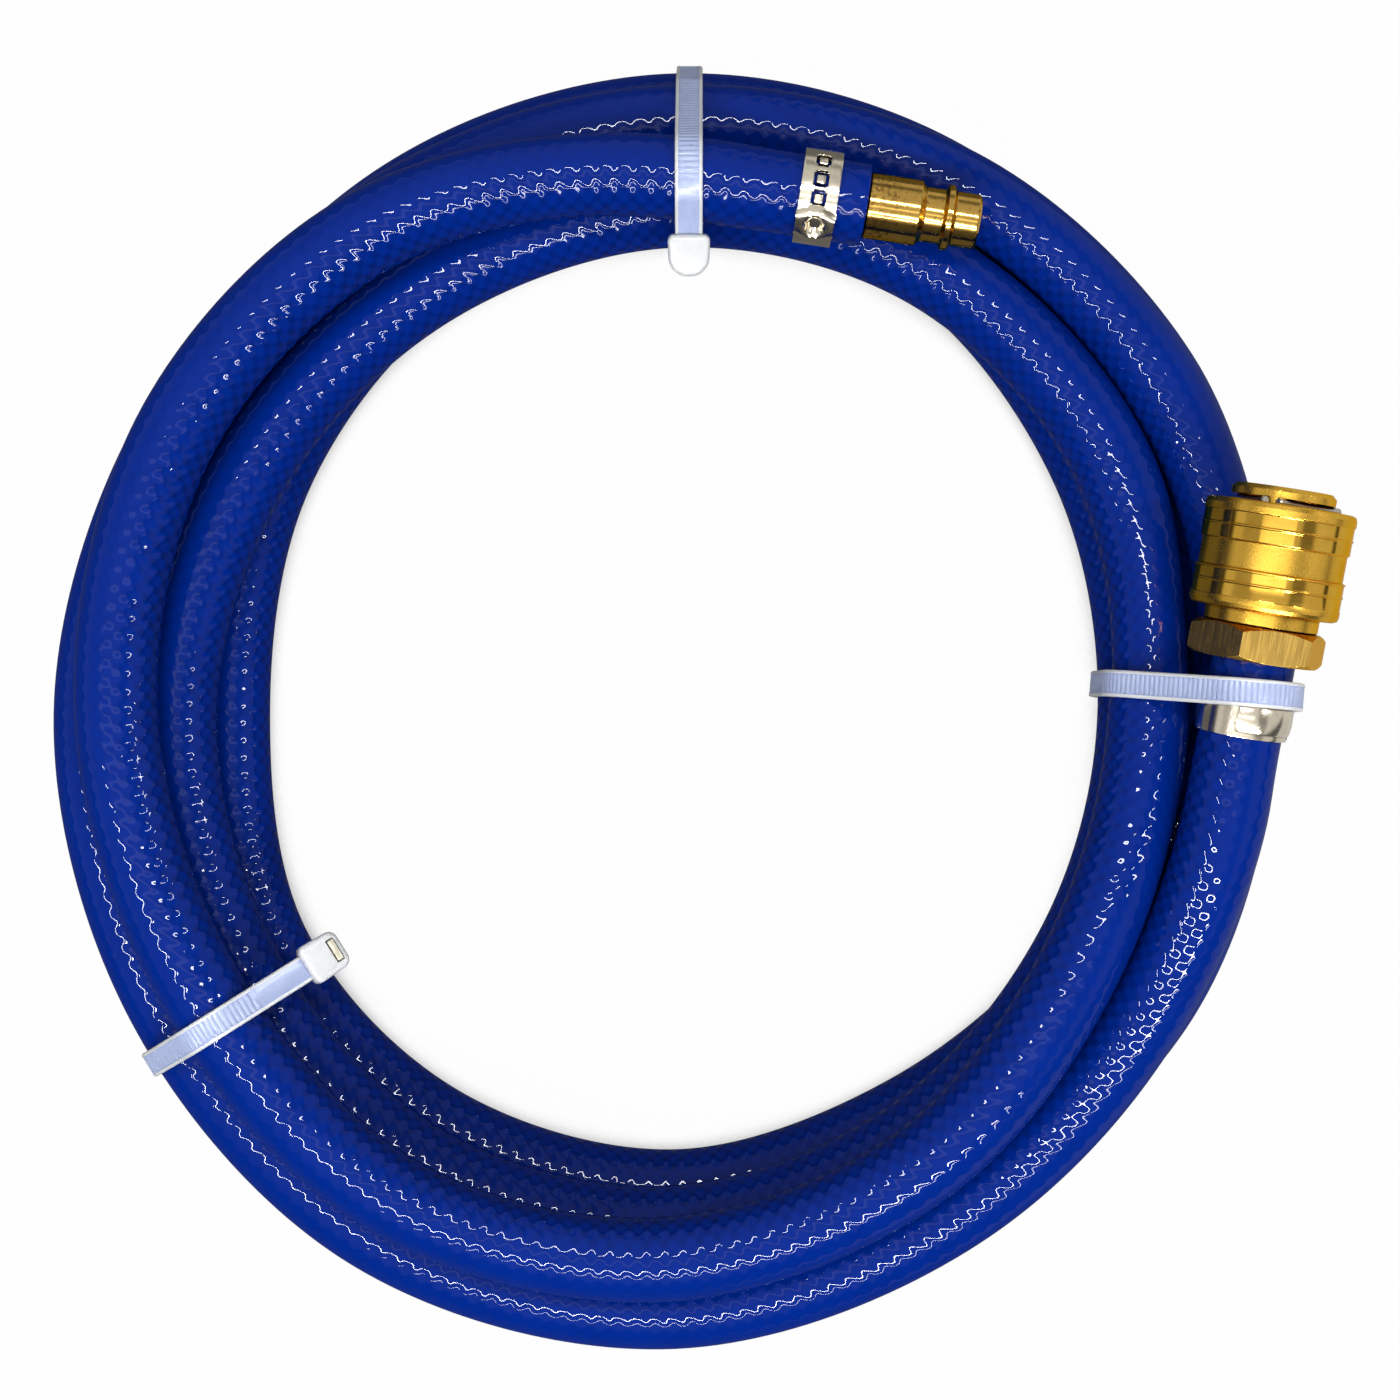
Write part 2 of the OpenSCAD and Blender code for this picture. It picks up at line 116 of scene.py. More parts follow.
def ways_along(line):
    """Heading at each point of a line."""
    last = len(line) - 1
    return [
        (line[min(i + 1, last)] - line[max(i - 1, 0)]).normalized() for i in range(last + 1)
    ]


class Route:
    """A smooth line through the knots, measured along its length."""

    def __init__(self, knots, pieces=30):
        spans = [(b - a).length for a, b in zip(knots, knots[1:])]
        headings = [(b - a) / s for a, b, s in zip(knots, knots[1:], spans)]
        slopes = [headings[0]]
        for i in range(1, len(knots) - 1):
            weighted = headings[i] * spans[i - 1] + headings[i - 1] * spans[i]
            slopes.append(weighted / (spans[i] + spans[i - 1]))
        slopes.append(headings[-1])
        self.points = []
        for i, span in enumerate(spans):
            for k in range(pieces):
                t = k / pieces
                self.points.append(
                    (2 * t**3 - 3 * t**2 + 1) * knots[i]
                    + (t**3 - 2 * t**2 + t) * span * slopes[i]
                    + (3 * t**2 - 2 * t**3) * knots[i + 1]
                    + (t**3 - t**2) * span * slopes[i + 1]
                )
        self.points.append(knots[-1].copy())
        self.marks = [0.0]
        for a, b in zip(self.points, self.points[1:]):
            self.marks.append(self.marks[-1] + (b - a).length)
        self.length = self.marks[-1]
        self.ways = ways_along(self.points)

    def at(self, distance, start=0):
        """Centre and heading at a distance along the line, and where the search ended."""
        i = start
        while i > 0 and self.marks[i] > distance:
            i -= 1
        while i < len(self.marks) - 2 and self.marks[i + 1] < distance:
            i += 1
        t = (distance - self.marks[i]) / (self.marks[i + 1] - self.marks[i])
        t = min(max(t, 0.0), 1.0)
        return (
            self.points[i].lerp(self.points[i + 1], t),
            self.ways[i].lerp(self.ways[i + 1], t).normalized(),
            i,
        )

    def passes(self, spot, azimuth):
        """Where the line crosses an upright plane, as (distance out from the spot, height)."""
        out, across = way_of(azimuth), way_of(azimuth + 90)
        found = []
        for a, b in zip(self.points, self.points[1:]):
            da, db = (a - spot).dot(across), (b - spot).dot(across)
            if da <= 0 < db:
                p = a.lerp(b, da / (da - db))
                if (p - spot).dot(out) > 0:
                    found.append(((p - spot).dot(out), p.z))
        return found


ROUTE = Route(route_knots())


def end_frame(spot, azimuth, rise):
    """Frame of a fitting on a hose end: +Z points out of the hose and +X up."""
    return (
        Matrix.Translation(COIL_MIDDLE + spot)
        @ Matrix.Rotation(radians(azimuth), 4, "Z")
        @ Matrix.Rotation(radians(90 - rise), 4, "Y")
        @ Matrix.Rotation(pi, 4, "Z")
    )


PLUG_FRAME = end_frame(*PLUG_END)
COUPLER_FRAME = end_frame(*COUPLER_END)


# ---- Shaping ----


def merged(bm):
    """Closes the seams and poles, and turns the faces outward."""
    bmesh.ops.remove_doubles(bm, verts=bm.verts, dist=1e-4)
    bmesh.ops.recalc_face_normals(bm, faces=bm.faces)
    return bm


def round_corners(bm, width, segments=2, angle=25):
    """Rounds every edge that is sharper than the angle."""
    sharp = [
        e for e in bm.edges
        if len(e.link_faces) == 2 and e.calc_face_angle(0) > radians(angle)
    ]
    bmesh.ops.bevel(
        bm, geom=sharp, offset=width, offset_type="OFFSET", affect="EDGES",
        segments=segments, profile=0.5, clamp_overlap=True, material=-1,
    )
    return bm


def turned(outline, corner, sides):
    """Turns a closed outline of (radius, height) points on the lathe, with rounded corners."""
    bm = bmesh.new()
    verts = [bm.verts.new((r, 0, z)) for r, z in outline]
    edges = [bm.edges.new(pair) for pair in zip(verts, verts[1:] + verts[:1])]
    bmesh.ops.spin(
        bm, geom=verts + edges, cent=(0, 0, 0), axis=(0, 0, 1),
        angle=tau, steps=sides, use_merge=True,
    )
    return round_corners(merged(bm), corner)


def rolled(along, around, place, uv=None):
    """A sheet of along by around cells, laid by place(i, k), with its seams merged."""
    bm = bmesh.new()
    layer = bm.loops.layers.uv.new("UVMap")
    bmesh.ops.create_grid(bm, x_segments=along, y_segments=around, size=0.5)
    spots = {}
    for v in bm.verts:
        i, k = round((v.co.x + 0.5) * along), round((v.co.y + 0.5) * around)
        spots[v.index] = (i, k)
        v.co = place(i, k)
    if uv:
        bm.verts.index_update()
        for face in bm.faces:
            for loop in face.loops:
                loop[layer].uv = uv(*spots[loop.vert.index])
    return merged(bm)


def capped(bm):
    """Closes the open ends of a tube."""
    rim = [e for e in bm.edges if e.is_boundary]
    bmesh.ops.holes_fill(bm, edges=rim, sides=0)
    bmesh.ops.recalc_face_normals(bm, faces=bm.faces)
    return bm


def tube_along(line, radius, sides):
    """A round wire along a line of points."""
    ways = ways_along(line)

    def place(i, k):
        side = ways[i].cross(Vector((0, 0, 1))).normalized()
        up = side.cross(ways[i])
        a = tau * k / sides
        return line[i] + radius * (cos(a) * side + sin(a) * up)

    return capped(rolled(len(line) - 1, sides, place))


def node_copy(node, corner):
    """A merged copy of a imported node's mesh, in millimetres, with its corners rounded."""
    bm = bmesh.new()
    bm.from_mesh(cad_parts[node].data)
    bmesh.ops.scale(bm, vec=(1 / MM,) * 3, verts=bm.verts)
    bmesh.ops.remove_doubles(bm, verts=bm.verts, dist=2e-3)
    bmesh.ops.dissolve_limit(
        bm, angle_limit=radians(0.6), verts=bm.verts, edges=bm.edges,
        use_dissolve_boundaries=False,
    )
    return round_corners(bm, corner, angle=30)


def swung(bm, angle):
    """Turns a shape about the upright axis."""
    matrix = Matrix.Rotation(radians(angle), 3, "Z")
    bmesh.ops.rotate(bm, matrix=matrix, verts=bm.verts, cent=(0, 0, 0))
    return bm


def block(size, place=(0, 0, 0)):
    """A plain block of this size."""
    bm = bmesh.new()
    bmesh.ops.create_cube(bm, size=1.0)
    bmesh.ops.scale(bm, vec=size, verts=bm.verts)
    bmesh.ops.translate(bm, vec=place, verts=bm.verts)
    return bm


def joined(*parts):
    """One bmesh of several."""
    bm = bmesh.new()
    for part in parts:
        mesh = bpy.data.meshes.new("part")
        part.to_mesh(mesh)
        part.free()
        bm.from_mesh(mesh)
        bpy.data.meshes.remove(mesh)
    return bm


def finished(bm, name, finish, nodes, place=None, body=ROOT, angle=32):
    """Turns a bmesh into a piece that rides on a body and stands for its nodes."""
    matrix = Matrix.Scale(MM, 4) @ (place if place else Matrix.Identity(4))
    bmesh.ops.transform(bm, matrix=matrix, verts=bm.verts)
    mesh = bpy.data.meshes.new(name)
    bm.to_mesh(mesh)
    bm.free()
    mesh.shade_smooth()
    mesh.set_sharp_from_angle(angle=radians(angle))
    for material in finish if isinstance(finish, list) else [finish]:
        mesh.materials.append(material)
    obj = bpy.data.objects.new(name, mesh)
    bpy.context.scene.collection.objects.link(obj)
    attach(obj, body)
    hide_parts(*nodes)
    return obj


def smooth_step(x):
    """Rises smoothly from 0 to 1 as x does."""
    x = min(max(x, 0.0), 1.0)
    return x * x * (3 - 2 * x)


# ---- Finishes ----

# Brass keeps its colour where it is seen at a low angle
BRASS_EDGE = (1.0, 0.72, 0.32, 1.0)
# Painted shade: the colours painted into corners and grooves of brass and steel, and the reach in
# millimetres within which a spot counts as closed in
BRASS_CORNER_SHADE = (0.035, 0.018, 0.006)
STEEL_CORNER_SHADE = (0.02, 0.02, 0.02)
CORNER_SHADE_REACH = 0.9


class Nodes:
    """Short names for the nodes of a material or a world."""

    def __init__(self, tree):
        self.tree = tree

    def link(self, source, target):
        self.tree.links.new(source, target)

    def node(self, kind, inputs=None, **settings):
        """A node with its settings and with its inputs, each a value or a socket to link."""
        node = self.tree.nodes.new(kind)
        for name, value in settings.items():
            setattr(node, name, value)
        for key, value in (inputs or {}).items():
            if isinstance(value, bpy.types.NodeSocket):
                self.link(value, node.inputs[key])
            else:
                node.inputs[key].default_value = value
        return node

    def math(self, operation, a, b=0.0, c=0.0):
        return self.node("ShaderNodeMath", {0: a, 1: b, 2: c}, operation=operation).outputs[0]

    def ramp(self, value, stops):
        """Colours or greys between stops of (place, colour)."""
        node = self.node("ShaderNodeValToRGB", {"Fac": value})
        elements = node.color_ramp.elements
        while len(elements) < len(stops):
            elements.new(0.5)
        for element, (place, colour) in zip(elements, stops):
            element.position = place
            shade = (colour,) * 3 if isinstance(colour, float) else colour
            element.color = (*shade, 1.0)
        return node.outputs["Color"]


class Finish(Nodes):
    """A material with a Principled shader."""

    def __init__(self, name):
        self.material = bpy.data.materials.new(name)
        self.material.use_nodes = True
        super().__init__(self.material.node_tree)
        self.shader = self.tree.nodes["Principled BSDF"]

    def set(self, **values):
        """Sets sockets of the shader, or links nodes to them."""
        for name, value in values.items():
            socket = self.shader.inputs[name.replace("_", " ")]
            if isinstance(value, bpy.types.NodeSocket):
                self.link(value, socket)
            else:
                socket.default_value = value

    def object_point(self, turned_to=None):
        """Object coordinates in millimetres, or in a fitting's own frame."""
        point = self.node("ShaderNodeTexCoord").outputs["Object"]
        if turned_to is not None:
            loc, rot, _ = turned_to.decompose()
            point = self.node(
                "ShaderNodeMapping",
                {"Vector": point, "Location": loc * MM, "Rotation": rot.to_euler()},
                vector_type="TEXTURE",
            ).outputs[0]
        return self.node(
            "ShaderNodeVectorMath", {0: point, "Scale": 1 / MM}, operation="SCALE"
        ).outputs[0]

    def noise(self, point, scale, detail=3.0, roughness=0.55):
        return self.node(
            "ShaderNodeTexNoise",
            {"Vector": point, "Scale": scale, "Detail": detail, "Roughness": roughness},
        ).outputs["Fac"]

    def blend(self, share, one, other):
        """Colour between one and the other."""
        mix = self.node("ShaderNodeMix", data_type="RGBA")
        for key, value in ((0, share), (6, one), (7, other)):
            if isinstance(value, bpy.types.NodeSocket):
                self.link(value, mix.inputs[key])
            else:
                mix.inputs[key].default_value = (*value, 1.0) if key else value
        return mix.outputs[2]

    def shaded_in_corners(self, colour, corner_shade):
        """A colour with painted shade in corners and grooves."""
        open_air = self.node(
            "ShaderNodeAmbientOcclusion", {"Distance": CORNER_SHADE_REACH * MM}, samples=8
        ).outputs["AO"]
        return self.blend(self.span(open_air, 0.45, 0.85, 0.85, 0.0), colour, corner_shade)

    def span(self, value, low, high, to_low=0.0, to_high=1.0):
        """Carries a value from one range to another, and stops at its ends."""
        inputs = {
            "Value": value, "From Min": low, "From Max": high, "To Min": to_low, "To Max": to_high,
        }
        return self.node("ShaderNodeMapRange", inputs).outputs["Result"]

    def bump(self, height, depth):
        """Bump whose depth is in millimetres."""
        inputs = {"Height": height, "Strength": 1.0, "Distance": depth * MM}
        return self.node("ShaderNodeBump", inputs).outputs["Normal"]


YARN_PITCH = 3.45
YARN_AROUND = 12


def hose_finish(colour, dark):
    """Glossy blue plastic over a knitted yarn, whose diamonds stand out a little, in relief and in
    a darker colour that also carries painted shade of their dents.
    """
    f = Finish("hose_pvc")
    f.set(
        Roughness=0.5, Specular_IOR_Level=0.0,
        Coat_Weight=0.36, Coat_Roughness=0.03, Coat_IOR=1.45,
    )
    uv = f.node("ShaderNodeTexCoord").outputs["UV"]
    split = f.node("ShaderNodeSeparateXYZ", {0: uv})
    u, v = split.outputs[0], split.outputs[1]
    wave_u = f.math("COSINE", f.math("MULTIPLY", u, tau / (YARN_PITCH * MM)))
    wave_v = f.math("COSINE", f.math("MULTIPLY", v, tau * YARN_AROUND))
    lattice = f.math("MULTIPLY", wave_u, wave_v)
    point = f.object_point()
    soft = f.noise(point, 0.05, 2)
    patch = f.noise(point, 0.11, 2)
    fine = f.noise(point, 0.6, 3)
    # The yarn stands out most on the inner side of a bend, where the plastic is squeezed
    inner = f.math("MULTIPLY_ADD", f.math("SINE", f.math("MULTIPLY", v, tau)), -0.5, 0.5)
    squeezed = f.math("POWER", inner, 2.2)
    relief = f.math("MULTIPLY_ADD", squeezed, 0.7, 0.36)
    relief = f.math("MULTIPLY", relief, f.span(patch, 0.3, 0.7, 0.55, 1.25))
    woven = f.math("MULTIPLY", lattice, relief)
    # The diamonds are also darkened in the colour, most on the inner side: partly the yarn showing
    # through, partly painted shade of its dents
    shows = f.math("MULTIPLY_ADD", squeezed, 0.6, 0.08)
    yarn = f.math("MULTIPLY", f.span(woven, -0.3, 0.7), shows)
    shade = f.math("ADD", yarn, f.math("MULTIPLY", f.span(patch, 0.35, 0.7), 0.12))
    height = f.math("ADD", woven, f.math("MULTIPLY", soft, 1.2))
    skin = f.bump(f.math("ADD", height, f.math("MULTIPLY", fine, 0.05)), 0.10)
    f.set(Base_Color=f.ramp(shade, [(0.0, colour), (1.0, dark)]), Normal=skin, Coat_Normal=skin)
    return f.material


def brass_finish(name, place, colour, shade, rough, spots):
    """Turned brass: fine rings from the lathe, clouds and small brown spots."""
    f = Finish(name)
    f.set(Metallic=1.0, Specular_Tint=BRASS_EDGE)
    point = f.object_point(place)
    split = f.node("ShaderNodeSeparateXYZ", {0: point})
    flat = f.node("ShaderNodeCombineXYZ", {0: split.outputs[0], 1: split.outputs[1]}).outputs[0]
    radial = f.node("ShaderNodeVectorMath", {0: flat}, operation="LENGTH").outputs["Value"]
    rings = f.noise(
        f.node("ShaderNodeCombineXYZ", {0: split.outputs[2], 1: radial}).outputs[0], 5.0, 3, 0.6
    )
    cloud = f.noise(point, 0.25, 4)
    speck = f.noise(point, 2.6, 3, 0.6)
    tone = f.math("ADD", f.math("MULTIPLY", cloud, 0.85), f.math("MULTIPLY", rings, 0.15))
    turned_colour = f.ramp(tone, [(0.3, shade), (0.6, colour)])
    stain = f.noise(point, 1.3, 4, 0.65)
    root = f.span(split.outputs[2], 2.0, 7.0, 0.12, 0.0)
    brown = f.math("MULTIPLY", f.span(f.math("ADD", stain, root), 0.56, 0.7), spots)
    stained = f.blend(brown, turned_colour, (0.22, 0.1, 0.03))
    gloss = f.math("ADD", rings, f.math("MULTIPLY", cloud, 0.6))
    height = f.math("ADD", rings, f.math("MULTIPLY", speck, 0.5))
    # The colour carries painted shade in corners and grooves
    f.set(
        Base_Color=f.shaded_in_corners(stained, BRASS_CORNER_SHADE),
        Roughness=f.span(gloss, 0.5, 1.1, rough - 0.03, rough + 0.06),
        Normal=f.bump(height, 0.0012),
    )
    return f.material


def blasted_brass_finish(place, colour, shade):
    """Satin brass for the sleeve's grip and collars: a fine grain with dark specks."""
    f = Finish("brass_blasted")
    f.set(Metallic=1.0, Specular_Tint=BRASS_EDGE)
    point = f.object_point(place)
    grain = f.noise(point, 5.0, 3, 0.7)
    cloud = f.noise(point, 0.3, 3)
    tone = f.math("ADD", f.math("MULTIPLY", grain, 0.5), f.math("MULTIPLY", cloud, 0.5))
    specks = f.span(f.noise(point, 2.2, 2), 0.68, 0.76, 0.0, 0.7)
    speckled = f.blend(specks, f.ramp(tone, [(0.3, shade), (0.6, colour)]), (0.2, 0.09, 0.02))
    # The colour carries painted shade in corners and grooves
    f.set(
        Base_Color=f.shaded_in_corners(speckled, BRASS_CORNER_SHADE), Roughness=f.span(grain, 0.3, 0.7, 0.2, 0.3),
        Normal=f.bump(grain, 0.003),
    )
    return f.material


def drawn_brass_finish(place, colour, shade):
    """Drawn hexagonal bar: streaks that run along it."""
    f = Finish("brass_drawn_bar")
    f.set(Metallic=1.0, Specular_Tint=BRASS_EDGE)
    point = f.object_point(place)
    stretched = f.node(
        "ShaderNodeVectorMath", {0: point, 1: (1.0, 1.0, 0.04)}, operation="MULTIPLY"
    ).outputs[0]
    streaks = f.noise(stretched, 3.0, 4, 0.7)
    cloud = f.noise(point, 0.25, 3)
    tone = f.math("ADD", f.math("MULTIPLY", streaks, 0.6), f.math("MULTIPLY", cloud, 0.4))
    streaky = f.ramp(tone, [(0.25, shade), (0.7, colour)])
    # The colour carries painted shade in corners and grooves
    f.set(
        Base_Color=f.shaded_in_corners(streaky, BRASS_CORNER_SHADE), Roughness=f.span(streaks, 0.3, 0.7, 0.2, 0.3),
        Normal=f.bump(streaks, 0.0015),
    )
    return f.material


def steel_finish(name, colour, rough):
    """Rolled or drawn steel with faint scratches and cloudy gloss."""
    f = Finish(name)
    f.set(Metallic=1.0)
    point = f.object_point()
    scratches = f.noise(point, 3.0, 4, 0.75)
    cloud = f.noise(point, 0.35, 3)
    dark = tuple(c * 0.82 for c in colour)
    steel = f.ramp(cloud, [(0.3, dark), (0.65, colour)])
    # The colour carries painted shade in corners and grooves
    f.set(
        Base_Color=f.shaded_in_corners(steel, STEEL_CORNER_SHADE),
        Roughness=f.span(scratches, 0.3, 0.7, rough - 0.06, rough + 0.1),
        Normal=f.bump(scratches, 0.0012),
    )
    return f.material


def rubber_finish():
    """Matt black rubber of the seals."""
    f = Finish("seal_rubber_black")
    point = f.object_point()
    cloud = f.noise(point, 0.8, 3)
    f.set(
        Base_Color=f.ramp(cloud, [(0.3, (0.012, 0.012, 0.014)), (0.7, (0.03, 0.03, 0.032))]),
        Roughness=f.span(cloud, 0.3, 0.7, 0.42, 0.62),
        Normal=f.bump(f.noise(point, 4.0, 2), 0.01),
    )
    return f.material


def nylon_finish(name, colour):
    """Natural nylon: milky, with faint flow clouds."""
    f = Finish(name)
    point = f.object_point()
    cloud = f.noise(point, 0.5, 3)
    dull = tuple(c * 0.93 for c in colour)
    f.set(
        IOR=1.53, Subsurface_Weight=0.85, Subsurface_Radius=(1.0, 1.0, 1.0),
        Subsurface_Scale=1.6 * MM, Coat_Weight=0.25, Coat_Roughness=0.15,
        Base_Color=f.ramp(cloud, [(0.3, dull), (0.7, colour)]),
        Roughness=f.span(cloud, 0.3, 0.7, 0.28, 0.42),
        Normal=f.bump(f.noise(point, 1.8, 2), 0.012),
    )
    return f.material


# ---- Hose ----

SKIN_STEP = 2.4
BORE_STEP = 9.0
HOSE_SIDES = 48
LIP = 0.4
BORE_LIP = 0.3
# Shares of the radius: the hose swells a little, and gives way where it lies against the coupler
SWELL = 0.016
THROB = 0.008
OVAL = 0.010
PRESSED = 0.055
COUPLER_REACH = 24.0
COUPLER_LOW, COUPLER_HIGH = -5.0, 45.0
COUPLER_FADE = 10.0
EVEN_END, END_FADE = 16.0, 14.0


def hose_stations(length):
    """Distance and radius of each ring: out along the skin and back down the bore."""
    skin, bore = HOSE_D / 2, HOSE_BORE / 2
    lip = [
        (LIP * (1 - cos(radians(a))), skin - LIP + LIP * sin(radians(a))) for a in (0, 30, 60, 90)
    ]
    count = ceil((length - 2 * LIP) / SKIN_STEP)
    out = [(LIP + (length - 2 * LIP) * i / count, skin) for i in range(1, count)]
    far_lip = [(length - s, r) for s, r in reversed(lip)]
    inner = [(BORE_LIP, bore), (0.0, bore + BORE_LIP)]
    far_inner = [(length - s, r) for s, r in reversed(inner)]
    run = length - 2 * BORE_LIP
    back = ceil(run / BORE_STEP)
    home = [(length - BORE_LIP - run * i / back, bore) for i in range(1, back)]
    return inner + lip + out + far_lip + far_inner + home + inner[:1]


def make_hose(finish):
    """One tube from the plug to the coupler, slightly uneven, and the path along its middle."""
    stations = hose_stations(ROUTE.length)
    rings, search = [], 0
    to_coupler = COUPLER_FRAME.inverted()
    for distance, radius in stations:
        centre, way, search = ROUTE.at(distance, search)
        side = way.cross(Vector((0, 0, 1))).normalized()
        beside = to_coupler @ centre
        room = max(
            beside.xy.length - COUPLER_REACH, COUPLER_LOW - beside.z, beside.z - COUPLER_HIGH
        )
        clear = smooth_step(room / COUPLER_FADE)
        to_end = min(distance, ROUTE.length - distance)
        end = smooth_step((to_end - EVEN_END) / END_FADE)
        pressed = PRESSED * (1 - clear) * end
        rings.append((distance, radius, centre, side, side.cross(way), clear * end, pressed))

    def place(i, k):
        distance, radius, centre, side, up, free, pressed = rings[i]
        a = tau * k / HOSE_SIDES - pi / 2
        if radius > HOSE_BORE / 2 + 0.1:
            uneven = SWELL + THROB * sin(distance / 17 + 2 * sin(distance / 61))
            uneven += OVAL * cos(2 * a) * (0.6 + 0.4 * sin(distance / 83))
            radius *= 1 + uneven * free - pressed
        return centre + radius * (cos(a) * side + sin(a) * up)

    def uv(i, k):
        return rings[i][0] * MM, k / HOSE_SIDES

    bm = rolled(len(stations) - 1, HOSE_SIDES, place, uv)
    finished(bm, "air_hose", finish, ["hose"], angle=60)
    path = [r[2] * MM for r in rings if abs(r[1] - HOSE_D / 2) < 1e-6]
    return [rings[0][2] * MM] + path + [ROUTE.points[-1] * MM]


# ---- Barbed tail and plug ----

TAIL_LENGTH = 19.0
FLOW_BORE = 5.5
BARB_ROOT_D = 8.2
BARB_CREST_D = 9.4
BARB_PITCH = 4.5
BARB_BACK = 1.4
BARB_STEP = 0.1
BARBS = 4
PLUG_LENGTH = 21.0


def make_plug(finish):
    """The plug: a barbed tail inside the hose and the profile that a coupler takes."""
    outline = [(FLOW_BORE / 2, -TAIL_LENGTH), (BARB_ROOT_D / 2 - 0.5, -TAIL_LENGTH)]
    for n in reversed(range(BARBS)):
        outline += [
            (BARB_ROOT_D / 2, -(n + 1) * BARB_PITCH),
            (BARB_CREST_D / 2, -n * BARB_PITCH - BARB_BACK - BARB_STEP),
            (BARB_ROOT_D / 2, -n * BARB_PITCH - BARB_BACK),
        ]
    outline += [
        (BARB_ROOT_D / 2, 0), (5.7, 0), (6.0, 0.3), (6.0, 9.7), (5.0, 10.7), (5.0, 14.1),
        (6.0, 14.7), (6.0, 15.7), (5.0, 16.3), (5.0, PLUG_LENGTH - 0.5), (4.5, PLUG_LENGTH),
        (FLOW_BORE / 2 + 0.6, PLUG_LENGTH), (FLOW_BORE / 2, PLUG_LENGTH - 1.2),
    ]
    bm = turned(outline, corner=0.1, sides=128)
    finished(bm, "plug_fitting", finish, ["plug"], PLUG_FRAME, angle=12)


# ---- Ear clamps ----

CLAMP_W = 7.0
CLAMP_T = 0.6
CLAMP_INNER_R = 7.55
EAR_OUT = 9.7
DIMPLE_L = 5.4
DIMPLE_W = 4.6
DIMPLE_DEEP = 1.4
CREASE_DEEP = 0.25
TONGUE_DROP = 0.3
TONGUE_NARROWS = 0.34
STRIP_CORNER = 1.3
WINDOW = 3.0
TAB = 1.7
TAB_HEIGHT = 1.25
# Degrees round the clamp; the windows' are measured back from the ear
STRIP_STEP = 1.5
LAP_FADE = 14.0
EAR_REGION = 60.0
EAR_HALF = 17.0
EAR_BELLY = 6.0
EAR_SLOPE = 9.0
CREASE_BACK = 24.0
TONGUE_FADE = 8.0
WINDOW_ANGLES = (33, 57, 85)
STRIP_ROWS = 20


def signed(angle):
    """An angle between -180 and 180 degrees."""
    return (angle + 180) % 360 - 180


def make_clamp(name, node, finish, frame_of_end, back, ear, free_end, dive, tongue):
    """One strip wound once round the hose, whose outer end laps over it with windows and an ear.

    The ear, the free end and the place where the lap ends are angles. The tongue is how far the
    free end is narrow, and back is how far the clamp sits behind the hose's end.
    """
    lap = dive - free_end
    total = lap + LAP_FADE + 360
    count = int(total / STRIP_STEP)
    inner, outer = CLAMP_INNER_R + 0.02, CLAMP_INNER_R + CLAMP_T + 0.04

    def place(i, k):
        run = total * i / count
        angle = free_end + run
        z = CLAMP_W * (k / STRIP_ROWS - 0.5)
        radius = outer
        if run >= lap:
            radius = inner + (outer - inner) * (1 - smooth_step((run - lap) / LAP_FADE))
        off = signed(angle - ear)
        if run < lap + EAR_REGION:
            wide = EAR_HALF + EAR_BELLY * (1 - (2 * z / CLAMP_W) ** 2)
            rise = smooth_step((wide - abs(off)) / EAR_SLOPE)
            radius += (EAR_OUT - CLAMP_T - radius) * rise * (0.82 + 0.18 * cos(pi * z / CLAMP_W))
            dimple = 1 - (radians(off) * EAR_OUT / DIMPLE_L * 2) ** 2 - (2 * z / DIMPLE_W) ** 2
            radius -= DIMPLE_DEEP * smooth_step(dimple / 0.8) * rise
            radius -= CREASE_DEEP * smooth_step(1.3 - abs(off + CREASE_BACK) / 1.6)
        if tongue and run < lap:
            narrow = 1 - smooth_step((run - tongue) / TONGUE_FADE)
            radius -= TONGUE_DROP * narrow * (2 * z / CLAMP_W) ** 2
            z *= 1 - TONGUE_NARROWS * narrow
        corner = max(0.0, STRIP_CORNER - radians(run) * outer)
        z = max(-CLAMP_W / 2 + corner, min(CLAMP_W / 2 - corner, z))
        a = radians(angle)
        return Vector((radius * cos(a), radius * sin(a), z))

    bm = rolled(count, STRIP_ROWS, place)
    holes = []
    for face in bm.faces:
        p = face.calc_center_median()
        at = degrees(atan2(p.y, p.x))
        for angle in WINDOW_ANGLES:
            off = radians(signed(at - ear + angle)) * outer
            inside = max(abs(off), abs(p.z)) < WINDOW / 2 and abs(off) + abs(p.z) < WINDOW * 0.8
            if inside and p.xy.length < outer + 0.1:
                holes.append(face)
    bmesh.ops.delete(bm, geom=holes, context="FACES")
    bmesh.ops.solidify(bm, geom=bm.faces, thickness=-CLAMP_T)
    round_corners(merged(bm), 0.14, 3, 50)
    bm = joined(bm, *(window_tab(ear - angle, outer + CLAMP_T) for angle in WINDOW_ANGLES))
    bmesh.ops.translate(bm, vec=(0, 0, -back), verts=bm.verts)
    finished(bm, name, finish, [node], frame_of_end, angle=45)


def window_tab(angle, top):
    """The hook that fills most of a window."""
    bm = block((TAB_HEIGHT, TAB, TAB), (top - TAB_HEIGHT / 2 - 0.05, 0, 0))
    return swung(round_corners(bm, 0.3, 3, 50), angle)


# ---- Ties ----

TIE_W = 5.1
TIE_T = 1.2
TIE_SLACK = 0.3
RAIL = 0.7
RIB_PITCH = 1.05
RIB_CELLS = 3
# The strap is plain this near to its head
PLAIN_NEAR, PLAIN_FADE = 13.0, 3.0
# A pass that is higher than the layers lies over a clamp, and the strap stands off it
OVER_CLAMP = LOWEST_CENTRE + 2.1 * LAYER_RISE
CLAMP_ROOM = 0.8
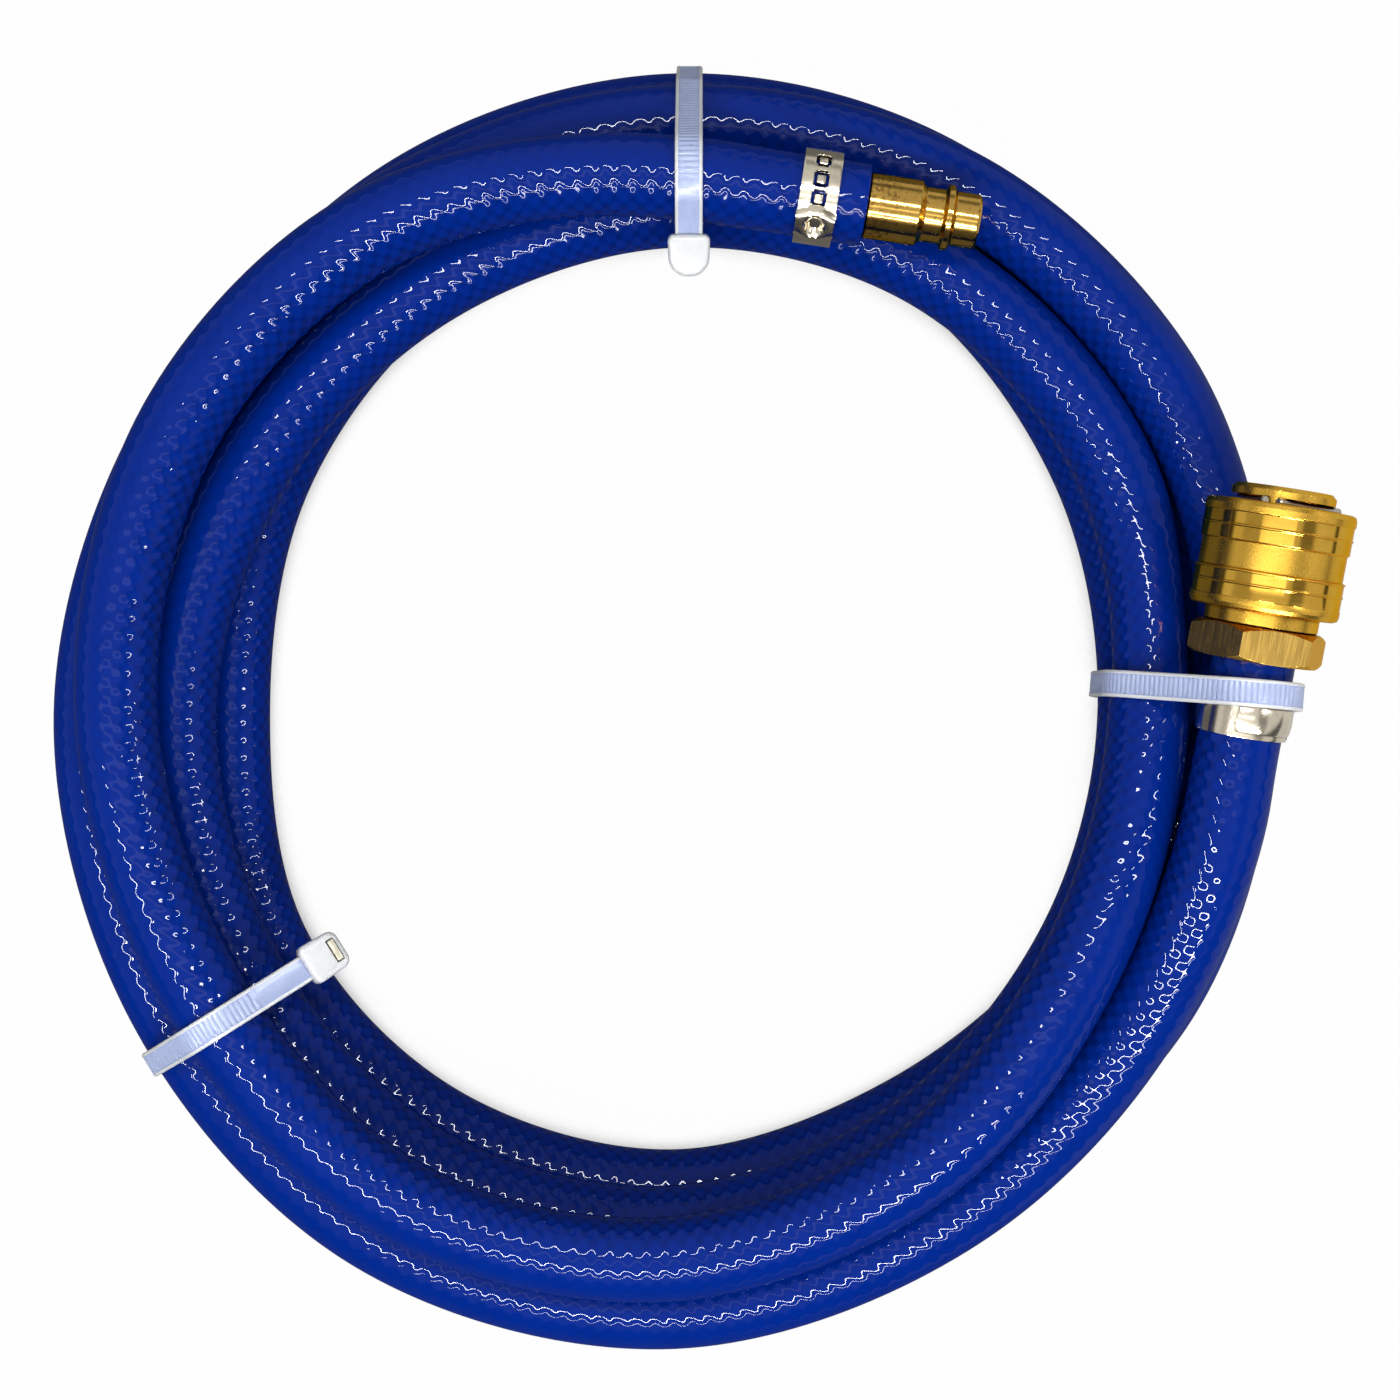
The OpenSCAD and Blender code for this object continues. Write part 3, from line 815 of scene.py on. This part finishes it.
# Spot beside the coil's middle, azimuth of its plane, head's place and angle and strap's tip in
# that plane, and the head's far rounding and whether its cut tail shows
TIES = {
    "top": (Vector((3, 0, 0)), 90, (83.6, 41), 15, (86, 40), 3.4, False),
    "left": (Vector((2.7, -4.1, 0)), 212, (79.8, 38), 20, (82, 37), 1.7, True),
    "right": (Vector((0, 11.8, 0)), -5, (119.6, 12), -90, (112, 12), 1.7, True),
}
HEAD = (7.6, 5.6, 7.9)
HEAD_TAPER = 0.93
POCKET_X = (-3.0, -1.3)
POCKET_Z = 2.3
POCKET_DEEP = 1.6
CUT_TAIL = (1.15, 2.2, 4.1)


def loop_line(circles, step):
    """Even points round the outside of some circles, as a taut strap lies."""
    outline, headings = [], 1440
    for i in range(headings):
        a = tau * i / headings
        u = Vector((cos(a), sin(a)))
        best = max(circles, key=lambda c: c[0].dot(u) + c[1])
        outline.append(best[0] + best[1] * u)
    outline.append(outline[0])
    marks = [0.0]
    for a, b in zip(outline, outline[1:]):
        marks.append(marks[-1] + (b - a).length)
    count = round(marks[-1] / step)
    line, j = [], 0
    for i in range(count):
        d = marks[-1] * i / count
        while marks[j + 1] < d:
            j += 1
        t = (d - marks[j]) / max(marks[j + 1] - marks[j], 1e-9)
        line.append(outline[j].lerp(outline[j + 1], t))
    return line


def strap_section(groove):
    """Points across a strap: (out, sideways), with raised rails beside a groove."""
    w, t, c = TIE_W / 2, TIE_T / 2, 0.4
    arc, rail, foot = c * 0.3, w - 0.62, w - 0.82
    low = t - groove
    return [
        (t - arc, w - arc), (t, w - c), (t, rail), (low, foot), (low, 0.0), (low, -foot),
        (t, -rail), (t, -w + c), (t - arc, -w + arc), (t - c, -w), (-t + c, -w),
        (-t + arc, -w + arc), (-t, -w + c), (-t, 0.0), (-t, w - c), (-t + arc, w - arc),
        (-t + c, w), (t - c, w),
    ]


def upright(bm, far):
    """Edges of a block that stand up at its far or its near end."""
    return [
        e for e in bm.edges
        if all((v.co.x < 0) == far for v in e.verts) and abs(e.verts[0].co.y - e.verts[1].co.y) > 1
    ]


def tie_head(far_round, tail):
    """Head of a tie, with its strap towards +X: a rounded block, and maybe its cut tail."""
    bm = block(HEAD)
    for v in bm.verts:
        if v.co.x < 0:
            v.co.z *= HEAD_TAPER
    for far, width in ((True, far_round), (False, 1.3)):
        bmesh.ops.bevel(
            bm, geom=upright(bm, far), offset=width, offset_type="OFFSET", affect="EDGES",
            segments=8, profile=0.5, clamp_overlap=True, material=-1,
        )
    round_corners(bm, 0.9, 4, 60)
    for face in bm.faces:
        face.material_index = 1
    if not tail:
        return bm
    middle = Vector((sum(POCKET_X) / 2, HEAD[1] / 2, 0))
    cuts = [((x, 0, 0), (1, 0, 0)) for x in POCKET_X]
    cuts += [((0, 0, z), (0, 0, 1)) for z in (-POCKET_Z, POCKET_Z)]
    for spot, across in cuts:
        near = [f for f in bm.faces if f.normal.y > 0.99]
        edges = list({e for f in near for e in f.edges})
        verts = list({v for f in near for v in f.verts})
        bmesh.ops.bisect_plane(bm, geom=near + edges + verts, plane_co=spot, plane_no=across)
    bm.faces.ensure_lookup_table()
    pocket = min(
        (f for f in bm.faces if f.normal.y > 0.99),
        key=lambda f: (f.calc_center_median() - middle).length,
    )
    sunk = bmesh.ops.extrude_discrete_faces(bm, faces=[pocket])["faces"][0]
    bmesh.ops.translate(bm, vec=(0, -POCKET_DEEP, 0), verts=sunk.verts)
    bmesh.ops.recalc_face_normals(bm, faces=bm.faces)
    stub = round_corners(block(CUT_TAIL), 0.12, 2, 50)
    for face in stub.faces:
        face.material_index = 2
    bmesh.ops.translate(stub, vec=middle - Vector((0, 0.75, 0)), verts=stub.verts)
    return joined(bm, stub)


def make_tie(side, finish, spot, azimuth, head_spot, head_angle, tip, far_round, tail):
    """A strap drawn tight round the turns, with its head."""
    spot = COIL_MIDDLE + spot
    edge = TIE_W / 2 * way_of(azimuth + 90)
    middles = ROUTE.passes(spot - edge, azimuth) + ROUTE.passes(spot + edge, azimuth)
    clear = TIE_SLACK + TIE_T / 2
    circles = [
        (Vector(p), HOSE_D / 2 + clear + (CLAMP_ROOM if p[1] > OVER_CLAMP else 0))
        for p in middles
    ]
    circles.append((Vector(tip), 0.5 + clear))
    line = loop_line(circles, RIB_PITCH / RIB_CELLS)
    count = len(line)
    head_at = Vector(head_spot)
    rib, groove = strap_section(0.06), strap_section(0.22)
    sides = len(rib)

    def place(i, k):
        p, q, r = line[i % count], line[(i + 1) % count], line[i - 1]
        way = (q - r).normalized()
        high, low = rib[k % sides], groove[k % sides]
        ribbed = smooth_step(((p - head_at).length - PLAIN_NEAR) / PLAIN_FADE)
        share = 0.0 if i % RIB_CELLS else ribbed
        at = p + Vector((way.y, -way.x)) * (high[0] + (low[0] - high[0]) * share)
        return Vector((at.x, at.y, high[1]))

    strap = rolled(count, sides, place)
    # The rails take the head's plain nylon colour; the rest of the strap takes the colour with the
    # painted shine of the hose
    for face in strap.faces:
        face.material_index = 1 if abs(face.calc_center_median().z) > TIE_W / 2 - RAIL else 0
    head = swung(tie_head(far_round, tail), head_angle)
    bmesh.ops.translate(head, vec=(head_at.x, head_at.y, 0), verts=head.verts)
    plane = (
        Matrix.Translation(spot)
        @ Matrix.Rotation(radians(azimuth), 4, "Z")
        @ Matrix.Rotation(radians(90), 4, "X")
    )
    bm = joined(strap, head)
    finished(bm, "nylon_tie_" + side, finish, ["tie_" + side], plane)


# ---- Coupler ----

MOUTH = 31.5
SLEEVE_FRONT = MOUTH - 3.1
SLEEVE_BACK = SLEEVE_FRONT - 19.5
# Heights above the sleeve's back
POLISHED = ((2.1, 6.8), (12.2, 17.3))
WIRE_SIDES = 10
CURL_STEPS = 40


def sleeve_outline():
    """Bands between thin ribs at both ends of a narrower waist, inside and out."""
    back, front = SLEEVE_BACK, SLEEVE_FRONT
    r, band, waist = 13.5, 13.32, 12.95
    outside = [
        (12.5, 0), (13.2, 0.3), (13.42, 1.0), (13.42, 2.0), (band, 2.12), (band, 4.4), (r, 4.55),
        (r, 4.75), (band, 4.9), (band, 6.7), (r, 6.85), (r, 7.05), (waist, 7.3), (waist, 12.0),
        (band, 12.3), (band, 14.6), (r, 14.75), (r, 14.95), (band, 15.1), (band, 17.2), (r, 17.35),
        (r, 18.5), (r - 0.26, 19.24), (r - 0.9, 19.5),
    ]
    inside = [
        (11.5, front), (11.5, front - 0.5), (9.45, front - 0.5), (9.45, front - 3.4),
        (11.45, front - 3.4), (11.45, back + 1.8), (10.35, back + 1.8),
    ]
    return [(10.35, back)] + [(radius, back + z) for radius, z in outside] + inside


def make_sleeve(finish, grip):
    """The sleeve, polished on its bands and satin elsewhere."""
    bm = turned(sleeve_outline(), corner=0.05, sides=160)
    for face in bm.faces:
        z = face.calc_center_median().z - SLEEVE_BACK
        face.material_index = 0 if any(low < z < high for low, high in POLISHED) else 1
    finished(
        bm, "grip_sleeve", [finish, grip], ["coupler_sleeve"], COUPLER_FRAME, "sleeve", 12
    )


def make_spring(node, finish, radius, wire, low, high, curls):
    """A compression spring: a wire coiled round the axis from low to high."""
    count = curls * CURL_STEPS
    bottom, top = low + wire / 2, high - wire / 2
    line = []
    for i in range(count + 1):
        a = tau * i / CURL_STEPS
        z = bottom + (top - bottom) * i / count
        line.append(Vector((radius * cos(a), radius * sin(a), z)))
    bm = tube_along(line, wire / 2, WIRE_SIDES)
    spring = finished(bm, node + "_wire", finish, [node], COUPLER_FRAME)
    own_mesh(spring)


def dress(node, material):
    """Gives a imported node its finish, without touching its mesh."""
    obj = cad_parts[node]
    for slot in obj.material_slots:
        slot.link = "OBJECT"
        slot.material = material


# ---- Stage ----

CAMERA_AT = (0.00244, -0.00079, 0.453)
CAMERA_LENS = 57.39
LAMP_AIM = (0.0, 0.0, 0.02)
# Name, place, size in metres, radiance, and the turn of its length from +X in degrees
LAMPS = (
    ("top_tube", (0.0, 0.215, 0.82), (0.3, 0.03), 84, 0),
    ("front_near", (-0.02, -0.42, 0.82), (0.9, 0.024), 130, -20),
    ("front_far", (0.12, -0.74, 0.88), (0.94, 0.026), 55, 0),
    ("left_near", (-0.57, -0.24, 0.80), (0.22, 0.035), 100, 113),
    ("side", (0.75, 0.15, 0.75), (0.3, 0.03), 85, 11),
    ("softbox", (-0.09, -0.05, 0.80), (0.76, 0.09), 1.3, -9),
)
# Brightness by the angle towards +X and towards +Y: 0 and 1 are the horizons, and 0.5 is overhead
SIDEWAYS = (
    (0.0, 0.04), (0.03, 0.06), (0.05, 0.6), (0.12, 0.6), (0.15, 0.4), (0.30, 0.4), (0.33, 0.62),
    (0.61, 0.62), (0.64, 0.2), (0.73, 0.2), (0.77, 0.6), (1.0, 0.6),
)
FRONT_TO_BACK = ((0.0, 0.12), (0.18, 0.15), (0.24, 1.0), (1.0, 1.0))
FLOOR_HALF = 3.0
FLOOR_GREY = (0.3, 0.3, 0.3, 1.0)
# The floor's glow by how open it is, which paints its shadow in closed-in gaps, and its mirror
# images' glow from left to right
FLOOR_OPEN = ((0.2, 0.01), (0.5, 1.0))
FLOOR_MIRRORED = ((0.60, 0.14), (0.65, 0.6))
FLOOR_SEEN = 0.98


def studio_world():
    """A soft studio all round, which the camera itself sees as white."""
    world = bpy.data.worlds.new("studio")
    bpy.context.scene.world = world
    world.use_nodes = True
    n = Nodes(world.node_tree)
    way = n.node("ShaderNodeSeparateXYZ", {0: n.node("ShaderNodeTexCoord").outputs["Generated"]})
    x, y, z = way.outputs
    light = 1.0
    for side, stops in ((x, SIDEWAYS), (y, FRONT_TO_BACK)):
        angle = n.math("MULTIPLY_ADD", n.math("ARCTAN2", side, z), 1 / pi, 0.5)
        light = n.math("MULTIPLY", n.ramp(angle, stops), light)
    seen = n.node("ShaderNodeLightPath").outputs["Is Camera Ray"]
    n.link(n.math("MAXIMUM", light, seen), n.tree.nodes["Background"].inputs["Color"])


def floor_material():
    """White to the eye, dimmer to its mirror images, and darkened by a painted shadow in closed-in
    gaps.
    """
    material = bpy.data.materials.new("floor_white")
    material.use_nodes = True
    n = Nodes(material.node_tree)
    n.tree.nodes.remove(n.tree.nodes["Principled BSDF"])
    open_air = n.node("ShaderNodeAmbientOcclusion", {"Distance": 0.02}, samples=16).outputs["AO"]
    path = n.node("ShaderNodeLightPath")
    seen, mirrored = path.outputs["Is Camera Ray"], path.outputs["Is Glossy Ray"]
    spot = n.node("ShaderNodeSeparateXYZ", {0: n.node("ShaderNodeTexCoord").outputs["Object"]})
    dimmed = n.ramp(n.math("ADD", spot.outputs[0], 0.5), FLOOR_MIRRORED)
    bright = n.math("MAXIMUM", dimmed, seen)
    # Painted shadow: the glow fades where the floor is closed in
    bright = n.math("MULTIPLY", bright, n.ramp(open_air, FLOOR_OPEN))
    glow = n.node("ShaderNodeEmission", {"Color": bright}).outputs[0]
    matt = n.node("ShaderNodeBsdfDiffuse", {"Color": FLOOR_GREY}).outputs[0]
    share = n.math("MULTIPLY_ADD", seen, FLOOR_SEEN, mirrored)
    mix = n.node("ShaderNodeMixShader", {0: share, 1: matt, 2: glow}).outputs[0]
    n.link(mix, n.tree.nodes["Material Output"].inputs["Surface"])
    return material


def add_lamp(name, place, size, radiance, turn):
    """A rectangular lamp that looks at the coil, its length turned this far from +X."""
    data = bpy.data.lights.new(name, "AREA")
    data.shape = "RECTANGLE"
    data.size, data.size_y = size
    data.energy = radiance * pi * size[0] * size[1]
    lamp = bpy.data.objects.new(name, data)
    bpy.context.scene.collection.objects.link(lamp)
    lamp.location = place
    back = (Vector(place) - Vector(LAMP_AIM)).normalized()
    across = back.cross(way_of(turn)).normalized()
    lamp.rotation_euler = Matrix((across.cross(back), across, back)).transposed().to_euler()


def make_stage():
    """The floor, the lamps, the world and the camera above the coil."""
    scene = bpy.context.scene
    scene.view_settings.view_transform = "Standard"
    studio_world()
    bm = bmesh.new()
    bmesh.ops.create_grid(bm, x_segments=2, y_segments=2, size=FLOOR_HALF)
    mesh = bpy.data.meshes.new("floor")
    bm.to_mesh(mesh)
    bm.free()
    mesh.materials.append(floor_material())
    floor = bpy.data.objects.new("floor", mesh)
    scene.collection.objects.link(floor)
    for lamp in LAMPS:
        add_lamp(*lamp)
    data = bpy.data.cameras.new("camera")
    data.lens = CAMERA_LENS
    data.sensor_width = 36.0
    data.clip_start = 0.01
    camera = bpy.data.objects.new("camera", data)
    camera.location = CAMERA_AT
    scene.collection.objects.link(camera)
    scene.camera = camera


# ---- Settings and operators ----


def colour_property(name, description, default):
    """A colour that the panel shows."""
    return bpy.props.FloatVectorProperty(
        name=name, description=description, size=3, subtype="COLOR", default=default, min=0, max=1
    )


class AirHoseSettings(bpy.types.PropertyGroup):
    """Colours of the dressed hose."""

    hose_colour: colour_property(
        "Hose colour", "Colour of the plastic", (0.0002, 0.0112, 0.137)
    )
    # Colour of the yarn diamonds, which also carries painted shade of their dents
    yarn_and_dent_shade_colour: colour_property(
        "Yarn shade", "Colour where the yarn shows through", (0.0002, 0.0052, 0.066)
    )
    brass_colour: colour_property("Brass colour", "Colour of the brass", (0.88, 0.52, 0.075))
    brass_shade: colour_property(
        "Brass shade", "Colour of the darker brass", (0.76, 0.42, 0.05)
    )
    bar_colour: colour_property(
        "Bar colour", "Colour of the plug and the hexagon", (0.88, 0.555, 0.13)
    )
    bar_shade: colour_property(
        "Bar shade", "Colour of the darker streaks on them", (0.70, 0.43, 0.10)
    )
    nylon_colour: colour_property(
        "Nylon colour", "Colour of the ties' heads", (0.43, 0.44, 0.45)
    )
    # The blue in the strap's colour is painted light of the hose shining through the thin nylon
    strap_colour_with_hose_shine: colour_property(
        "Strap colour", "Colour of the thin straps, which the hose shines through",
        (0.27, 0.315, 0.47),
    )
    cut_colour: colour_property(
        "Cut colour", "Colour of the cut tail's end", (0.42, 0.39, 0.31)
    )


class AIRHOSE_OT_stage(bpy.types.Operator):
    """Adds the floor, the lamps, the world and the camera"""

    bl_idname = "air_hose.stage"
    bl_label = "Stage"

    def execute(self, context):
        make_stage()
        return {"FINISHED"}


class AIRHOSE_OT_hose(bpy.types.Operator):
    """Makes the coiled hose"""

    bl_idname = "air_hose.hose"
    bl_label = "Hose"

    def execute(self, context):
        s = context.scene.air_hose
        path = make_hose(hose_finish(s.hose_colour, s.yarn_and_dent_shade_colour))
        context.scene["air_hose_path"] = [c for p in path for c in p]
        return {"FINISHED"}


class AIRHOSE_OT_plug(bpy.types.Operator):
    """Makes the plug"""

    bl_idname = "air_hose.plug"
    bl_label = "Plug"

    def execute(self, context):
        shade = context.scene.air_hose.bar_shade
        make_plug(brass_finish("brass_plug", PLUG_FRAME, shade, shade * 0.8, 0.11, 0.8))
        return {"FINISHED"}


class AIRHOSE_OT_coupler(bpy.types.Operator):
    """Makes the coupler's tail, body, sleeve and springs"""

    bl_idname = "air_hose.coupler"
    bl_label = "Coupler"

    def execute(self, context):
        s = context.scene.air_hose
        brass = brass_finish(
            "brass_coupler", COUPLER_FRAME, s.brass_colour, s.brass_shade, 0.1, 0.1
        )
        grip = blasted_brass_finish(COUPLER_FRAME, s.brass_colour, s.brass_shade)
        spring = steel_finish("spring_wire", (0.62, 0.62, 0.64), 0.25)
        bar = drawn_brass_finish(COUPLER_FRAME, s.bar_colour, s.bar_shade)
        for node, corner, name, finish in (
            ("coupler_tail", 0.14, "hexagon_tail", bar),
            ("coupler_body", 0.05, "coupler_nose", grip),
        ):
            finished(node_copy(node, corner), name, finish, [node], angle=12)
        make_sleeve(brass, grip)
        make_spring(
            "sleeve_spring", spring, 10.75, 1.0, 11.25, 24.95, 5
        )
        make_spring("valve_spring", spring, 5.7, 0.8, 9.95, 16.6, 3)
        dress("valve_poppet", brass)
        for node in ("locking_pin_outer", "locking_pin_inner", "locking_pin_under"):
            dress(node, steel_finish("pin_" + node, (0.60, 0.55, 0.46), 0.28))
        dress("spring_seat", steel_finish("seat_steel", (0.7, 0.7, 0.71), 0.3))
        rubber = rubber_finish()
        for node in ("plug_seal", "valve_seal", "body_seal"):
            dress(node, rubber)
        return {"FINISHED"}


class AIRHOSE_OT_clamps(bpy.types.Operator):
    """Makes both ear clamps"""

    bl_idname = "air_hose.clamps"
    bl_label = "Clamps"

    def execute(self, context):
        steel = steel_finish("clamp_steel", (0.90, 0.81, 0.64), 0.15)
        make_clamp(
            "plug_ear_clamp", "plug_clamp", steel, PLUG_FRAME,
            back=9.0, ear=47, free_end=-75, dive=90, tongue=0,
        )
        make_clamp(
            "coupler_ear_clamp", "coupler_clamp", steel, COUPLER_FRAME,
            back=10.3, ear=215, free_end=-20, dive=192, tongue=108,
        )
        return {"FINISHED"}


class AIRHOSE_OT_ties(bpy.types.Operator):
    """Makes the three nylon ties"""

    bl_idname = "air_hose.ties"
    bl_label = "Ties"

    def execute(self, context):
        s = context.scene.air_hose
        nylon = [
            # The strap's colour carries the hose's blue, painted in as light that shines through
            # the thin nylon
            nylon_finish("nylon_strap_hose_shine", s.strap_colour_with_hose_shine),
            nylon_finish("nylon_head", s.nylon_colour),
            nylon_finish("nylon_cut", s.cut_colour),
        ]
        for side, facts in TIES.items():
            make_tie(side, nylon, *facts)
        return {"FINISHED"}


OPERATORS = (
    AIRHOSE_OT_stage, AIRHOSE_OT_hose, AIRHOSE_OT_plug, AIRHOSE_OT_coupler,
    AIRHOSE_OT_clamps, AIRHOSE_OT_ties,
)


class AIRHOSE_PT_panel(bpy.types.Panel):
    """Lists the pieces of the air hose"""

    bl_idname = "AIRHOSE_PT_panel"
    bl_label = "Air hose"
    bl_space_type = "VIEW_3D"
    bl_region_type = "UI"
    bl_category = "Air hose"

    def draw(self, context):
        for name in AirHoseSettings.__annotations__:
            self.layout.prop(context.scene.air_hose, name)
        for operator in OPERATORS:
            self.layout.operator(operator.bl_idname)


CLASSES = (AirHoseSettings, *OPERATORS, AIRHOSE_PT_panel)


def register():
    for cls in CLASSES:
        bpy.utils.register_class(cls)
    bpy.types.Scene.air_hose = bpy.props.PointerProperty(type=AirHoseSettings)


def unregister():
    del bpy.types.Scene.air_hose
    for cls in reversed(CLASSES):
        bpy.utils.unregister_class(cls)


def main():
    register()
    bpy.ops.air_hose.stage()
    bpy.ops.air_hose.hose()
    bpy.ops.air_hose.plug()
    bpy.ops.air_hose.coupler()
    bpy.ops.air_hose.clamps()
    bpy.ops.air_hose.ties()


if __name__ == "__main__":
    main()
